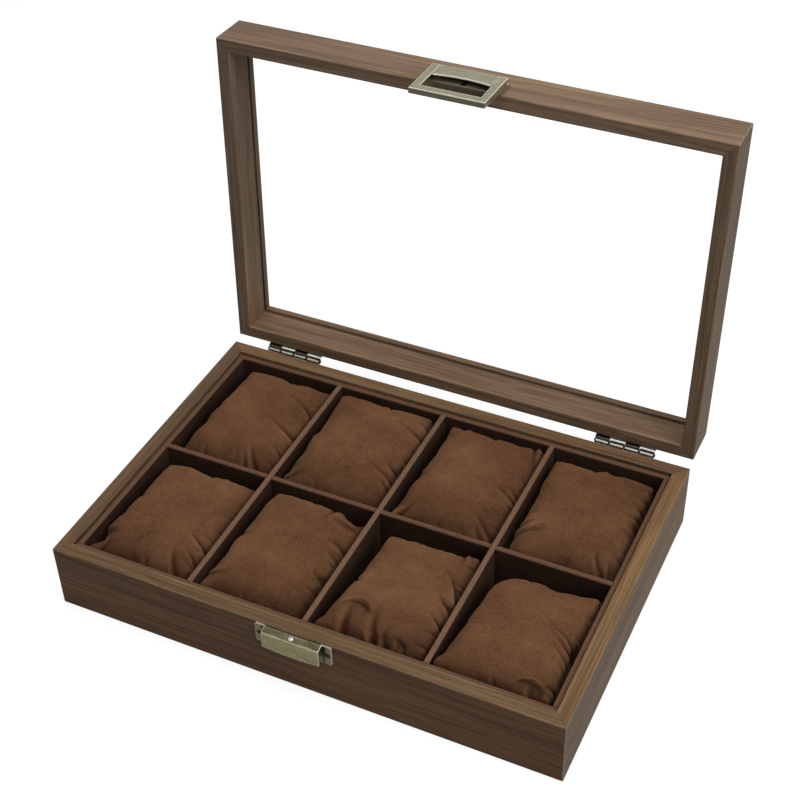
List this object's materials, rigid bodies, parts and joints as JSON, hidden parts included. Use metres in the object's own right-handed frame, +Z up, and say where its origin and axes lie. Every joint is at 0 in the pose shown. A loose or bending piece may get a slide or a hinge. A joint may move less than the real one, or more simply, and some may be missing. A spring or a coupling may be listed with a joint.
{
  "type": "watch box",
  "caption": "Rectangular wood-grain watch box: a suede-lined tray divided into cells, a removable cushion in each cell, a hinged glass-topped lid and a brass drop latch at the front.",
  "frame": {"origin": "centre of the underside that the box rests on", "axes": "+X along the width to the right, +Y from the front with the latch to the back with the hinges, +Z up; the lid is stored open"},
  "size_m": [0.295, 0.244, 0.2496],
  "materials": {
    "wood_wrap": "satin dark walnut grain wrap",
    "board": "plain fibreboard",
    "felt": "napped felt",
    "lining_suede": "brushed suede cloth over board",
    "cushion_suede": "brushed suede cloth",
    "glass": "clear polished",
    "antique_brass": "satin antique brass plate",
    "dark_brass": "darkened brass",
    "nickel": "bright nickel plate",
    "spring_steel": "tinted spring steel"
  },
  "bodies": {
    "base": {"front_wall": "wood_wrap", "back_wall": "wood_wrap", "left_wall": "wood_wrap", "right_wall": "wood_wrap", "bottom_panel": "board", "bottom_felt": "felt", "tray_floor": "lining_suede", "liner_front": "lining_suede", "liner_back": "lining_suede", "liner_left": "lining_suede", "liner_right": "lining_suede", "long_divider": "lining_suede", "cross_divider_1": "lining_suede", "cross_divider_2": "lining_suede", "cross_divider_3": "lining_suede", "catch_plate": "antique_brass", "catch_stud": "nickel", "catch_screws": "dark_brass", "hinge_left_base_leaf": "nickel", "hinge_right_base_leaf": "nickel", "hinge_left_pin": "nickel", "hinge_right_pin": "nickel", "base_hinge_screws": "nickel"},
    "lid": {"lid_front_rail": "wood_wrap", "lid_back_rail": "wood_wrap", "lid_left_rail": "wood_wrap", "lid_right_rail": "wood_wrap", "lid_glass": "glass", "hinge_left_lid_leaf": "nickel", "hinge_right_lid_leaf": "nickel", "lid_hinge_screws": "nickel", "latch_plate": "antique_brass", "latch_spring": "spring_steel", "latch_screws": "dark_brass", "latch_pin": "nickel"},
    "latch": {"latch_frame": "antique_brass"},
    "cushion_1": {"cushion_1": "cushion_suede"},
    "cushion_2": {"cushion_2": "cushion_suede"},
    "cushion_3": {"cushion_3": "cushion_suede"},
    "cushion_4": {"cushion_4": "cushion_suede"},
    "cushion_5": {"cushion_5": "cushion_suede"},
    "cushion_6": {"cushion_6": "cushion_suede"},
    "cushion_7": {"cushion_7": "cushion_suede"},
    "cushion_8": {"cushion_8": "cushion_suede"}
  },
  "joints": [
    {"name": "lid_hinge", "type": "hinge", "parent": "base", "child": "lid", "pos_m": [0, 0.1029, 0.0406], "axis": [1, 0, 0], "range_deg": [0, 92.4]},
    {"name": "latch_pivot", "type": "hinge", "parent": "lid", "child": "latch", "pos_m": [0, 0.1234, 0.24552], "axis": [-1, 0, 0], "range_deg": [0, 110]},
    {"name": "cushion_1_lift", "type": "slide", "parent": "base", "child": "cushion_1", "axis": [0, 0, -1], "range_m": [-0.06, 0]},
    {"name": "cushion_2_lift", "type": "slide", "parent": "base", "child": "cushion_2", "axis": [0, 0, -1], "range_m": [-0.06, 0]},
    {"name": "cushion_3_lift", "type": "slide", "parent": "base", "child": "cushion_3", "axis": [0, 0, -1], "range_m": [-0.06, 0]},
    {"name": "cushion_4_lift", "type": "slide", "parent": "base", "child": "cushion_4", "axis": [0, 0, -1], "range_m": [-0.06, 0]},
    {"name": "cushion_5_lift", "type": "slide", "parent": "base", "child": "cushion_5", "axis": [0, 0, -1], "range_m": [-0.06, 0]},
    {"name": "cushion_6_lift", "type": "slide", "parent": "base", "child": "cushion_6", "axis": [0, 0, -1], "range_m": [-0.06, 0]},
    {"name": "cushion_7_lift", "type": "slide", "parent": "base", "child": "cushion_7", "axis": [0, 0, -1], "range_m": [-0.06, 0]},
    {"name": "cushion_8_lift", "type": "slide", "parent": "base", "child": "cushion_8", "axis": [0, 0, -1], "range_m": [-0.06, 0]}
  ]
}
